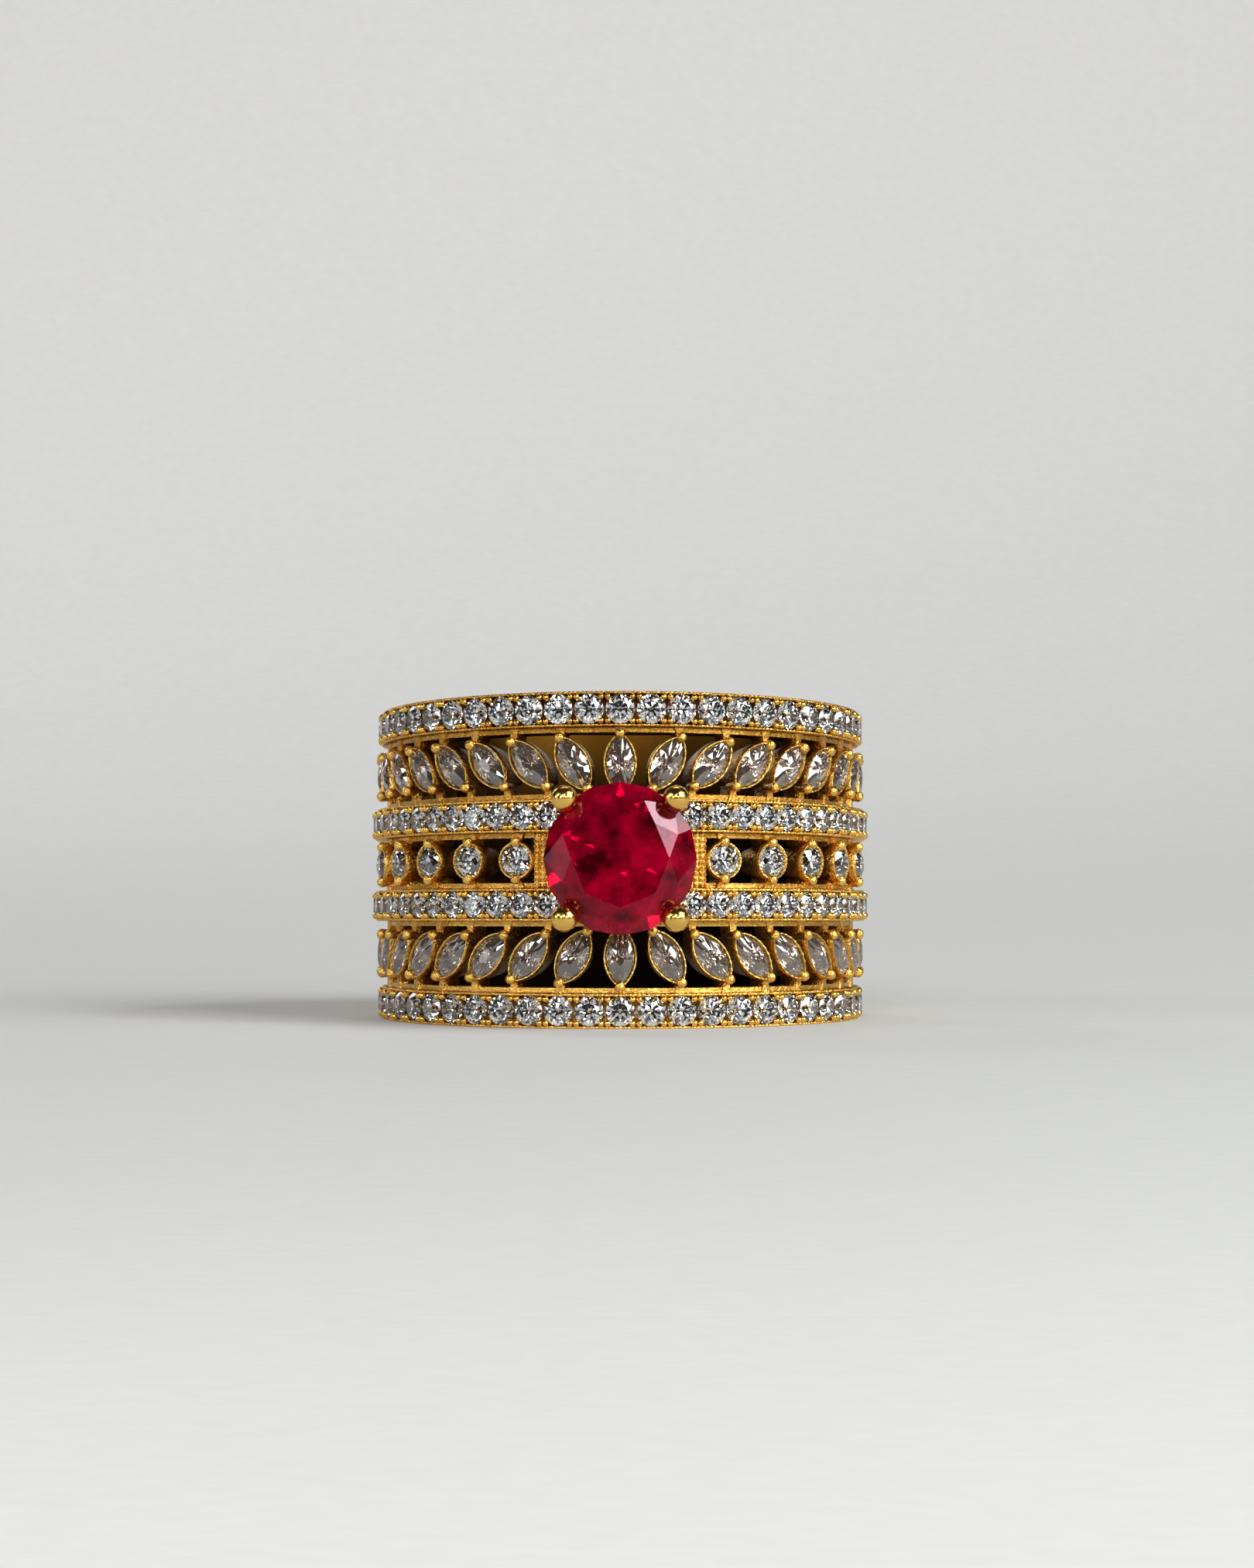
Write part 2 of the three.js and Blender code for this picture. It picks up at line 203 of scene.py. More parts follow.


# %% [markdown]
# ## Finishes
#
# Yellow gold of high carat reflects red and green far more than blue, so its base colour is a deep yellow
# and its highlights turn pale. The colour follows a ramp over the distance from the finger hole's axis, and
# that ramp is painted shade. The crests keep the gold's own colour, and the gold turns a darker brown towards
# the finger, so the openwork's walls and the bore look shaded. The roughness rises towards the finger too,
# since polishing only reaches the high parts. Cast gold is never quite smooth either: two scales of noise
# drive its bump, its roughness and a small drift of its colour. Noises and distances on the Object
# coordinates cover every bead and collet without any unwrapping, which a picture would need.

# %% Gold
def new_material(name, colour, roughness, **values):
    """A Principled material with its constant values set on the shader's own sockets."""
    material = bpy.data.materials.new(name)
    material.use_nodes = True
    shader = material.node_tree.nodes["Principled BSDF"]
    shader.inputs["Base Color"].default_value = (*colour, 1)
    shader.inputs["Roughness"].default_value = roughness
    for socket, value in values.items():
        shader.inputs[socket.replace("_", " ")].default_value = value
    return material, material.node_tree, shader


def noise(tree, scale, detail=3.0, roughness=0.5):
    """A noise on Object coordinates, with its scale given in features per metre."""
    place = tree.nodes.new("ShaderNodeTexCoord")
    texture = tree.nodes.new("ShaderNodeTexNoise")
    texture.inputs["Scale"].default_value = scale
    texture.inputs["Detail"].default_value = detail
    texture.inputs["Roughness"].default_value = roughness
    tree.links.new(place.outputs["Object"], texture.inputs["Vector"])
    return texture


def spread(tree, value, low, high):
    """Spreads a noise's middle range from low to high."""
    ramp = tree.nodes.new("ShaderNodeMapRange")
    ramp.inputs["From Min"].default_value = 0.3
    ramp.inputs["From Max"].default_value = 0.7
    ramp.inputs["To Min"].default_value = low
    ramp.inputs["To Max"].default_value = high
    tree.links.new(value, ramp.inputs["Value"])
    return ramp.outputs["Result"]


def colours(tree, value, dark, light):
    """A ramp between two colours, driven by a noise."""
    ramp = tree.nodes.new("ShaderNodeValToRGB")
    ramp.color_ramp.elements[0].position = 0.35
    ramp.color_ramp.elements[0].color = (*dark, 1)
    ramp.color_ramp.elements[1].position = 0.65
    ramp.color_ramp.elements[1].color = (*light, 1)
    tree.links.new(value, ramp.inputs["Fac"])
    return ramp.outputs["Color"]


def bump(tree, shader, height, distance):
    """A bump at full strength on the shader's normal, with its height in metres."""
    node = tree.nodes.new("ShaderNodeBump")
    node.inputs["Distance"].default_value = distance
    node.inputs["Strength"].default_value = 1.0
    tree.links.new(height, node.inputs["Height"])
    tree.links.new(node.outputs["Normal"], shader.inputs["Normal"])


def calculated(tree, operation, *values):
    """A math node on sockets and numbers."""
    node = tree.nodes.new("ShaderNodeMath")
    node.operation = operation
    for place, value in enumerate(values):
        if isinstance(value, bpy.types.NodeSocket):
            tree.links.new(value, node.inputs[place])
        else:
            node.inputs[place].default_value = value
    return node.outputs["Value"]


CREST_DEPTH = 1.9
# The gold's colour ramp is painted shade: near black brown at the bore, darker gold midway, and the gold's
# own colour on the crests.
GOLD_PAINTED_SHADE_RAMP = [(0.1, (0.02, 0.009, 0.0015)), (0.55, (0.36, 0.15, 0.015)), (1.0, (0.86, 0.52, 0.12))]
DRIFT_SCALE, GRAIN_SCALE = 900, 6000


def from_bore(tree):
    """Distance from the finger hole's axis, as 0 at its wall and 1 at the band's crests."""
    place = tree.nodes.new("ShaderNodeTexCoord")
    axes = tree.nodes.new("ShaderNodeSeparateXYZ")
    tree.links.new(place.outputs["Object"], axes.inputs["Vector"])
    deep = calculated(tree, "SUBTRACT", axes.outputs["Y"], AXIS_Y * MM)
    squares = [calculated(tree, "MULTIPLY", side, side) for side in (axes.outputs["X"], deep)]
    distance = calculated(tree, "SQRT", calculated(tree, "ADD", *squares))
    past_wall = calculated(tree, "SUBTRACT", distance, FINGER_RADIUS * MM)
    return calculated(tree, "DIVIDE", past_wall, CREST_DEPTH * MM)


def gold(name, roughness, grain_depth, patchy=0.5):
    """Yellow gold: painted shade brown in the bore, pale crests, duller inwards, with patches and a grain of
    noise.
    """
    material, tree, shader = new_material(name, (0.9, 0.6, 0.18), roughness[0], Metallic=1.0)
    waves = noise(tree, DRIFT_SCALE, 2)
    grain = noise(tree, GRAIN_SCALE, 3, 0.6)
    drift = calculated(tree, "MULTIPLY_ADD", waves.outputs["Fac"], patchy, -patchy / 2)
    ramp = tree.nodes.new("ShaderNodeValToRGB")
    ramp.color_ramp.elements.new(0.5)
    for element, (place, colour) in zip(ramp.color_ramp.elements, GOLD_PAINTED_SHADE_RAMP):
        element.position = place
        element.color = (*colour, 1)
    # Painted shade: the nearer a point lies to the finger, the darker and browner its colour. The same value
    # also makes it rougher.
    depth = from_bore(tree)
    painted_shade_and_polish = calculated(tree, "MULTIPLY_ADD", depth, drift, depth)
    tree.links.new(painted_shade_and_polish, ramp.inputs["Fac"])
    tree.links.new(ramp.outputs["Color"], shader.inputs["Base Color"])
    dullness = calculated(tree, "MAXIMUM", calculated(tree, "MULTIPLY_ADD", painted_shade_and_polish, -0.4, 0.3), 0)
    rough = calculated(tree, "ADD", spread(tree, grain.outputs["Fac"], *roughness), dullness)
    tree.links.new(rough, shader.inputs["Roughness"])
    bump(tree, shader, grain.outputs["Fac"], grain_depth)
    return material


cast_gold = gold("cast_gold", (0.16, 0.28), 0.00008)
bead_gold = gold("bead_gold", (0.08, 0.18), 0.00002)
satin_gold = gold("satin_gold", (0.12, 0.2), 0.00001)
polished_gold = gold("polished_gold", (0.10, 0.16), 0.000004, patchy=0.08)
print("gold finishes:", cast_gold.name, bead_gold.name, satin_gold.name, polished_gold.name)

# %% [markdown]
# ## Stones as optical pieces
#
# A clear stone shows almost no surface of its own. What is seen is light that has turned round inside it, so
# the cut has to be right: each facet is a flat face, and the refractive index sends light back out through
# the crown. A painted white lump never looks like a diamond. Clear rounds have an index of 2.4, and ruby has
# 1.77. The marquises are a little warmer, and the ruby has the silky clouds that natural stones show. Every
# surface mirrors the room too, and a pale floor would lay a grey veil on a dark red stone, so the light that
# the ruby mirrors is given a red tint.

# %% Stone finishes
def stone(name, light, dark, index, scale, clear, roughness, sheen=(1.0, 1.0, 1.0)):
    """A cut stone: a clear share that refracts and a milky share that scatters, with drifting colour."""
    material, tree, shader = new_material(
        name, light, roughness, IOR=index, Transmission_Weight=clear, Specular_Tint=(*sheen, 1))
    clouds = noise(tree, scale, 4, 0.6)
    tree.links.new(colours(tree, clouds.outputs["Fac"], dark, light), shader.inputs["Base Color"])
    return material


clear_stone = stone("clear_stone", (1.0, 1.0, 1.0), (0.90, 0.92, 0.97), 2.4, 1500, 1.0, 0.0)
warm_stone = stone("warm_stone", (1.0, 0.84, 0.73), (0.97, 0.72, 0.58), 2.4, 2500, 0.96, 0.0)
ruby_stone = stone("ruby_stone", (0.66, 0.0, 0.034), (0.07, 0.0, 0.003), 1.77, 800, 0.6, 0.02,
                   sheen=(0.42, 0.2, 0.24))
print("stone finishes:", clear_stone.name, warm_stone.name, ruby_stone.name)

# %% [markdown]
# ## The rails
#
# A rail is a channel bent round the finger. It could be a curve object with a bevel profile, but its edges
# carry milgrain, a row of tiny beads rolled along each lip, and that has to follow the sweep. So the section
# is written as a function of the angle round the ring: where the grain swells, the lip's round top swells
# with it. The swell is the absolute value of a sine, which gives round tops and sharp valleys.

# %% Sweep a rail
GRAIN_PITCH = 0.2
STEPS_PER_GRAIN = 4


def swept(section, radius, angles, height):
    """Carries a section round the finger: x = r sin a, y = -r cos a, z = height + offset, then narrows it."""
    turn = np.radians(angles)[:, None]
    offset, out = section
    return narrowed(np.stack([out * np.sin(turn), -out * np.cos(turn), height + offset + 0 * turn], axis=-1))


def rail(size, side):
    """A channel with a rounded bore, straight walls and a lip each side whose top swells grain by grain."""
    radius, width = size["radius"], size["width"]
    half = width / 2
    grains = round(2 * np.radians(DECOR_ANGLE) * radius / GRAIN_PITCH)
    angles = np.linspace(-DECOR_ANGLE, DECOR_ANGLE, grains * STEPS_PER_GRAIN + 1)
    swell = np.abs(np.sin(np.linspace(0, np.pi * grains, len(angles))))[:, None]
    top = np.radians([-10, 25, 60, 90, 120, 155, 190])
    reach = LIP / 2 * (0.75 + 0.55 * swell)
    lip_offset = half - LIP / 2 + reach * np.cos(top)
    lip_out = radius - LIP / 2 + reach * np.sin(top)
    ones = np.ones_like(swell)
    channel = radius - GROOVE_DEPTH
    plain_offset = np.array([half - 0.16, half - 0.05, half]) * ones
    plain_out = np.array([FINGER_RADIUS, FINGER_RADIUS + 0.05, FINGER_RADIUS + 0.16]) * ones
    inner_offset = (half - LIP) * ones
    inner_out = channel * ones
    right_offset = np.hstack([plain_offset, lip_offset, inner_offset])
    right_out = np.hstack([plain_out, lip_out, inner_out])
    offset = np.hstack([right_offset, -right_offset[:, ::-1]])
    out = np.hstack([right_out, right_out[:, ::-1]])
    return loft(swept((offset, out), radius, angles, side * size["middle"]))


# %% [markdown]
# ## Round brilliants
#
# A brilliant has 57 facets: one table, 8 stars, 8 kites and 16 upper halves on its crown, then 16 lower
# halves and 8 mains on its pavilion. The corners lie on a few circles, so the stone is a handful of rings in
# a unit disc. Another outline is the same disc squeezed. The marquise multiplies each point's width by a
# power of one minus its height squared: a half gives two arcs that meet in sharp points, and less gives the
# fuller ends of a small stone whose tips are blunted so that they don't chip. The marquises also have a
# crushed-ice cut: many small triangles at uneven depths, which break the light up into glitter.

# %% Cut a brilliant
def ring_points(count, first, radius, height):
    """Points on a circle of the unit disc, at equal angles from `first`, which is a share of a turn."""
    turn = (np.arange(count) / count + first) * 2 * np.pi
    return np.stack([radius * np.cos(turn), radius * np.sin(turn), np.full(count, float(height))], axis=-1)


def brilliant(table, crown, pavilion, girdle=0.05, lower=0.28, folds=8):
    """Facets on a unit disc, 57 at 8 folds. Star and lower corners lie in the planes of kites and mains."""
    half_fold = 0.5 / folds
    lean = np.cos(2 * np.pi * half_fold)
    star = table + (1 - table) * 0.48
    star_height = girdle + crown - (star * lean - table) * crown / (1 - table)
    lower_height = -girdle - pavilion * (1 - lower * lean)
    points = np.concatenate([
        ring_points(folds, 0, table, girdle + crown),
        ring_points(folds, half_fold, star, star_height),
        ring_points(2 * folds, 0, 1, girdle),
        ring_points(2 * folds, 0, 1, -girdle),
        ring_points(folds, half_fold, lower, lower_height),
        [[0, 0, -girdle - pavilion]],
    ])
    i = np.arange(folds)
    j = (i + 1) % folds
    k = np.arange(2 * folds)
    after_k = (k + 1) % (2 * folds)
    star_at, top_at, base_at, low_at, culet = (np.array([1, 2, 4, 6, 7]) * folds).tolist()
    faces = [
        i[None],
        np.stack([i, star_at + i, j], axis=-1),
        np.stack([star_at + i, top_at + 2 * i, top_at + 2 * i + 1], axis=-1),
        np.stack([star_at + i, top_at + 2 * i + 1, top_at + 2 * j], axis=-1),
        np.stack([j, star_at + i, top_at + 2 * j, star_at + j], axis=-1),
        np.stack([top_at + k, base_at + k, base_at + after_k, top_at + after_k], axis=-1),
        np.stack([low_at + i, base_at + 2 * i + 1, base_at + 2 * i], axis=-1),
        np.stack([low_at + i, base_at + 2 * j, base_at + 2 * i + 1], axis=-1),
        np.stack([low_at + i, np.full(folds, culet), low_at + j, base_at + 2 * j], axis=-1),
    ]
    return points, faces


def zigzag(upper, lower, folds, upper_turned):
    """Triangles between two rings of corners, of which one is turned by half a step."""
    i = np.arange(folds)
    j = (i + 1) % folds
    if upper_turned:
        return [np.stack([upper + i, lower + j, upper + j], axis=-1),
                np.stack([lower + i, lower + j, upper + i], axis=-1)]
    return [np.stack([upper + i, lower + i, upper + j], axis=-1),
            np.stack([lower + i, lower + j, upper + j], axis=-1)]


def crushed(table, crown, pavilion, girdle=0.05, folds=20):
    """A many-faceted stone: rings of corners, each turned half a step from the last, at uneven depths."""
    above = [(table, crown), ((1 + table) / 2, 0.62 * crown), (1, 0)]
    below = [(1, 0), (0.76, -0.34), (0.52, -0.58), (0.28, -0.82)]
    rings = [(radius, girdle + height) for radius, height in above]
    rings += [(radius, -girdle + height * pavilion) for radius, height in below]
    turned = [0, 1, 0, 0, 1, 0, 1]
    uneven = np.random.default_rng(5).uniform(-0.06, 0.06, (len(rings), folds))
    uneven[[0, 2, 3]] = 0
    corners = [ring_points(folds, half / 2 / folds, *ring) for ring, half in zip(rings, turned)]
    points = np.concatenate(corners + [[[0, 0, -girdle - pavilion]]])
    points[:-1, 2] += uneven.ravel()
    i = np.arange(folds)
    j = (i + 1) % folds
    at = np.arange(len(rings) + 1) * folds
    faces = [i[None], np.stack([at[2] + i, at[3] + i, at[3] + j, at[2] + j], axis=-1)]
    for upper in (0, 1, 3, 4, 5):
        faces += zigzag(at[upper], at[upper + 1], folds, turned[upper])
    faces.append(np.stack([at[6] + i, np.full(folds, at[7]), at[6] + j], axis=-1))
    return points, faces


MARQUISE_PINCH = 0.24


def shaped(cut, wide, long, marquise=False):
    """Squeezes a unit stone to its outline: width times a power of 1 - y squared for a marquise."""
    points, faces = cut
    x, y, z = points.T
    pinch = np.clip(1 - y ** 2, 0, 1) ** MARQUISE_PINCH if marquise else 1.0
    return outward(np.stack([x * pinch * wide / 2, y * long / 2, z * wide / 2], axis=-1), faces)


ROUND_CUT = brilliant(table=0.56, crown=0.33, pavilion=0.86)
print("a round brilliant has", sum(len(group) for group in ROUND_CUT[1]), "faces with its girdle")

# %% [markdown]
# ## Pave
#
# Along a rail the stones sit girdle to girdle, each held by beads that are raised from the metal at its four
# corners. Neighbours share the corners, so a pair of beads stands on each side of every join. The rails get
# narrower towards the sides, and the setter picks smaller stones there: each stone is scaled by what the band
# keeps. A bead is a short post with a domed head. Seen from the side it would otherwise float.

# %% Set the rails
EDGE_STONE, EDGE_PITCH, EDGE_COUNT = 1.27, 7.35, 12
INNER_STONE, INNER_PITCH, INNER_FIRST, INNER_COUNT = 1.15, 6.3, 17.0, 12
BEAD = lathe([(0.15, -0.45), (0.15, 0), (0.13, 0.08), (0.075, 0.133), (0.014, 0.15)], 8)


def pave_stones(size, side, angles, diameter):
    """A stone at each angle, with its girdle just under the rail's lips."""
    places = seats(angles, size["radius"] - 0.07, side * size["middle"])
    return copies(shaped(ROUND_CUT, diameter, diameter), places, kept(places[0][:, 1]))


def pave_beads(size, side, angles):
    """Two pairs of beads at each join between two stones, close against the lips."""
    apart = np.degrees(0.14 / size["radius"])
    inset = size["width"] / 2 - LIP - 0.125
    shells = []
    for along in (-apart, apart):
        for level in (-inset, inset):
            places = seats(angles + along, size["radius"] + 0.03, side * size["middle"] + level)
            shells.append(copies(BEAD, places))
    return shells


edge_angles = np.arange(-EDGE_COUNT, EDGE_COUNT + 1) * EDGE_PITCH
edge_joins = (np.arange(2 * EDGE_COUNT + 2) - EDGE_COUNT - 0.5) * EDGE_PITCH
inner_angles = INNER_FIRST + np.arange(INNER_COUNT + 1) * INNER_PITCH
inner_joins = INNER_FIRST + (np.arange(INNER_COUNT + 2) - 0.5) * INNER_PITCH

for level, side in (("upper", 1), ("lower", -1)):
    make_piece(f"{level}_edge_band", [rail(EDGE_RAIL, side)], cast_gold, [f"{level}_edge_rail"])
    make_piece(f"{level}_inner_band", [rail(INNER_RAIL, side)], cast_gold, [f"{level}_inner_rail"])
    both = np.concatenate([-inner_joins, inner_joins])
    beads = pave_beads(EDGE_RAIL, side, edge_joins) + pave_beads(INNER_RAIL, side, both)
    make_piece(f"{level}_pave_beads", beads, bead_gold, [])
    stones = pave_stones(EDGE_RAIL, side, edge_angles, EDGE_STONE)
    make_piece(f"{level}_edge_brilliants", [stones], clear_stone, [f"{level}_edge_pave"], True)
    for hand, sign in (("left", -1), ("right", 1)):
        stones = pave_stones(INNER_RAIL, side, sign * inner_angles, INNER_STONE)
        node = f"{level}_inner_pave_{hand}"
        make_piece(f"{level}_inner_brilliants_{hand}", [stones], clear_stone, [node], True)

# %% [markdown]
# ## Collets
#
# A collet is a tapered cup, and light comes into its stone from behind through its open foot. It is one
# closed loop of profile, carried round the stone's outline: up the outside, over the thin bright rim, down to
# the seat and out of the foot. Scaling an outline would thicken a marquise's tips too much, so each profile
# point adds its own offset to the outline's half width and half length instead.

# %% Collets and their posts
MARQUISE = {"wide": 1.2, "long": 2.4}
MARQUISE_ROW = {"radius": 10.35, "middle": 4.13, "pitch": 11.0, "count": 8}
FAN_LIMIT, FAN_RATE = 45.0, 1.05
COLLET_DEPTH = 1.5


def collet(wide, long, columns, grains, marquise=False):
    """Rings of an outline, each at a profile point's offset and height, looped into a cup with no bottom."""
    offset = np.array([0.02, 0.05, 0.10, 0.13, 0.13, 0.10, -0.02, -0.13, -0.24, -0.14, -0.06, 0.0])
    height = np.array([0.06, 0.13, 0.13, 0.06, -0.1, -0.45, -0.95, -COLLET_DEPTH,
                       -COLLET_DEPTH, -0.8, -0.4, -0.05])
    turn = np.arange(columns) * 2 * np.pi / columns
    x, y = np.cos(turn), np.sin(turn)
    if marquise:
        x = x * np.abs(x) ** (2 * MARQUISE_PINCH)
    rim = (np.arange(len(height)) < 3)[:, None] * 0.03 * np.abs(np.sin(turn * grains / 2))
    rings = np.stack([
        (wide / 2 + offset[:, None]) * x,
        (long / 2 + offset[:, None]) * y,
        height[:, None] + rim,
    ], axis=-1)
    return loft(rings, loop=True)


def post(places, foot, tip, wide, deep):
    """A flared post along y, from its foot to its tip: rings of a rounded box that swell towards the foot."""
    turn = np.arange(12) * np.pi / 6
    share = np.linspace(0, 1, 6)[:, None]
    flare = 1 + 0.9 * (1 - share) ** 2
    power = 0.6
    x = np.sign(np.cos(turn)) * np.abs(np.cos(turn)) ** power * wide / 2 * flare
    z = np.sign(np.sin(turn)) * np.abs(np.sin(turn)) ** power * deep / 2 * (1 + 0 * share)
    y = foot + (tip - foot) * share + 0 * x
    return copies(loft(np.stack([x, y, z], axis=-1)), places)


def border(size_out, low, high):
    """A thin strip round the finger between two heights, which ties the posts to the rail beside it."""
    angles = np.linspace(-DECOR_ANGLE, DECOR_ANGLE, 121)
    ones = np.ones((121, 1))
    offset = np.array([low, high, high, low]) * ones
    out = np.array([FINGER_RADIUS + 0.1] * 2 + [size_out] * 2) * ones
    return loft(swept((offset, out), size_out, angles, 0))


TIP_BEAD = lathe([(0.18, -0.6), (0.22, -0.1), (0.24, 0.0), (0.221, 0.1), (0.165, 0.178),
                  (0.09, 0.223), (0.017, 0.24)], 12)
STRIP = 0.2
GAP = 0.03
steps = np.arange(-MARQUISE_ROW["count"], MARQUISE_ROW["count"] + 1)
leans = np.sign(steps) * FAN_LIMIT * (1 - np.exp(-FAN_RATE * np.abs(steps)))
MARQUISE_CUT = crushed(table=0.3, crown=0.38, pavilion=1.0)


def fan_gallery(side):
    """The collets, posts, beads and border strips of one fan. Each tip gets a bead and a post to its rail."""
    radius, middle, pitch = (MARQUISE_ROW[key] for key in ("radius", "middle", "pitch"))
    nearest = INNER_RAIL["middle"] + INNER_RAIL["width"] / 2
    furthest = EDGE_RAIL["middle"] - EDGE_RAIL["width"] / 2
    shells = [
        copies(collet(**MARQUISE, marquise=True, columns=96, grains=24),
               seats(steps * pitch, radius, side * middle, -side * leans)),
        border(radius - 0.2, *sorted([side * (nearest + GAP), side * (nearest + GAP + STRIP)])),
        border(radius - 0.2, *sorted([side * (furthest - GAP - STRIP), side * (furthest - GAP)])),
    ]
    tip = MARQUISE["long"] / 2 + 0.06
    shift = np.degrees(tip * np.sin(np.radians(leans)) / radius)
    rise = tip * np.cos(np.radians(leans))
    for way, rail_height in ((1, furthest), (-1, nearest)):
        angles = steps * pitch + way * shift
        heights = middle + way * rise
        shells.append(copies(TIP_BEAD, seats(angles, radius + 0.14, side * heights)))
        for angle, height in zip(angles, heights):
            place = seats(angle, 9.75, 0)
            keeps = kept(place[0][0, 1])
            foot, top = side * rail_height * keeps, side * (height - 0.05 * way) * keeps
            shells.append(post(place, foot, top, 0.36, 1.0))
    return shells


for level, side in (("upper", 1), ("lower", -1)):
    make_piece(f"{level}_fan", fan_gallery(side), cast_gold, [f"{level}_marquise_gallery"])
    for step, lean in zip(steps, leans):
        place = "centre" if step == 0 else f"{'left' if step < 0 else 'right'}_{abs(step)}"
        seat = seats(step * MARQUISE_ROW["pitch"], MARQUISE_ROW["radius"] + 0.03,
                     side * MARQUISE_ROW["middle"], -side * lean)
        cut = copies(shaped(MARQUISE_CUT, **MARQUISE, marquise=True), seat)
        node = f"{level}_marquise_{place}"
        make_piece(f"{node}_cut", [cut], warm_stone, [node], True)

# %% [markdown]
# ## The middle row
#
# Five round stones stand on each side of the ruby, in collets whose rims are rolled with milgrain. Beside the
# ruby an engraved plate bridges the two inner rails. Its relief is a product of two sines, which makes a
# field of small round grains like a beading tool's. A floor under the ruby joins both sides of the row.

# %% Side collets, bridge plates and floor
SIDE_STONE = 1.36
SIDE_ROW = {"radius": 10.55, "first": 24.7, "pitch": 13.0, "count": 5}
side_angles = SIDE_ROW["first"] + np.arange(SIDE_ROW["count"]) * SIDE_ROW["pitch"]
MIDDLE_EDGE = INNER_RAIL["middle"] - INNER_RAIL["width"] / 2 - GAP


def plate(start, end, low, high, relief):
    """A curved block whose outer face carries grains: height = high + relief sin(pi u) sin(pi v), squared."""
    across, around = 41, 33
    angles = np.linspace(start, end, around)
    level = np.linspace(-MIDDLE_EDGE, MIDDLE_EDGE, across)
    arc = np.radians(angles) * high
    bumps = relief * (np.sin(np.pi * arc[:, None] / 0.24) * np.sin(np.pi * level / 0.24)) ** 2
    offset = np.hstack([level * np.ones((around, 1)), level[::-1][[0, -1]] * np.ones((around, 1))])
    out = np.hstack([high + bumps, low * np.ones((around, 2))])
    return loft(swept((offset, out), high, angles, 0))


def middle_row():
    """The collets, beads, posts, plates, floor and border strips between the inner rails."""
    radius = SIDE_ROW["radius"]
    angles = np.concatenate([-side_angles, side_angles])
    shells = [
        copies(collet(SIDE_STONE, SIDE_STONE, columns=120, grains=30), seats(angles, radius)),
        border(radius - 0.3, MIDDLE_EDGE - STRIP, MIDDLE_EDGE),
        border(radius - 0.3, -MIDDLE_EDGE, STRIP - MIDDLE_EDGE),
        plate(-16, 16, FINGER_RADIUS, FINGER_RADIUS + 0.4, 0.0),
    ]
    for hand in (-1, 1):
        shells.append(plate(*sorted([hand * 15.2, hand * 20.4]), FINGER_RADIUS + 0.3, radius - 0.1, 0.12))
    for way in (-1, 1):
        shells.append(copies(TIP_BEAD, seats(angles, radius + 0.1, way * (SIDE_STONE / 2 + 0.12))))
        for angle in angles:
            place = seats(angle, 9.85, 0)
            keeps = kept(place[0][0, 1])
            shells.append(post(place, way * MIDDLE_EDGE * keeps, way * SIDE_STONE / 2, 0.34, 1.1))
    return shells


make_piece("middle_row", middle_row(), cast_gold, ["middle_gallery"])
for hand, sign in (("left", -1), ("right", 1)):
    for number, angle in enumerate(side_angles, start=1):
        seat = seats(sign * angle, SIDE_ROW["radius"] + 0.03)
        cut = copies(shaped(ROUND_CUT, SIDE_STONE, SIDE_STONE), seat)
        node = f"side_stone_{hand}_{number}"
        make_piece(f"{node}_cut", [cut], clear_stone, [node], True)

# %% [markdown]
# ## The ruby and its claws
#
# The ruby is cut a little shallower than the small stones, with a wide table. Its claws are drawn wire: each
# one leaves the collar, bows out round the girdle and ends in a ball that is pushed down on the crown. A
# curve object with a bevel would do, but the wire thins towards its ball, and a profile carried along a
# path of a few points does both at once. The frames stay steady because each path lies in one plane.

# %% Ruby, collar and claws
RUBY = {"radius": 3.25, "girdle_at": 12.45, "table": 0.64, "crown": 0.26, "pavilion": 0.82}
CLAW_PATH = [(2.1, -1.95), (2.45, -1.45), (3.0, -0.9), (3.48, -0.4), (3.62, 0.02), (3.5, 0.32)]
CLAW_THICKNESS = [0.5, 0.43, 0.37, 0.32, 0.28, 0.25]
BALL = {"radius": 0.57, "from_axis": 3.47, "above_girdle": 0.36}
COLLAR = {"inner": 1.75, "outer": 2.4, "low": 10.33, "high": 10.88}


def smoothed(values, count):
    """Spreads a few values evenly over more, with Catmull-Rom weights between each four neighbours."""
    padded = np.vstack([2 * values[0] - values[1], values, 2 * values[-1] - values[-2]])
    place = np.linspace(0, len(values) - 1.000001, count)
    whole = place.astype(int)
    t = (place - whole)[:, None]
    a, b, c, d = (padded[whole + k] for k in range(4))
    straight = 2 * b + (c - a) * t
    square = (2 * a - 5 * b + 4 * c - d) * t ** 2
    cube = (3 * b - a - 3 * c + d) * t ** 3
    return 0.5 * (straight + square + cube)


def claw():
    """A wire in the x-z plane: rings of a circle across the path's own direction."""
    path = smoothed(np.column_stack([CLAW_PATH, CLAW_THICKNESS]), 22)
    line, thick = path[:, :2], path[:, 2:]
    along = np.gradient(line, axis=0)
    along /= np.linalg.norm(along, axis=1, keepdims=True)
    turn = np.arange(16) * np.pi / 8
    side = np.cos(turn) * thick
    x = line[:, :1] - along[:, 1:] * side
    z = line[:, 1:] + along[:, :1] * side
    return loft(np.stack([x, np.sin(turn) * thick, z], axis=-1))


def ball(radius, centre):
    """A sphere of rings from pole to pole, moved to its centre."""
    rise = np.linspace(-88, 88, 13)
    profile = np.stack([np.cos(np.radians(rise)), np.sin(np.radians(rise))], axis=-1) * radius
    points, faces = lathe(profile, 24)
    return points + centre, faces


def turned(shell, angle):
    """Turns a shell about its own z axis."""
    points, faces = shell
    turn = np.radians(angle)
    x, y, z = points.T
    east = x * np.cos(turn) - y * np.sin(turn)
    north = x * np.sin(turn) + y * np.cos(turn)
    return np.stack([east, north, z], axis=-1), faces


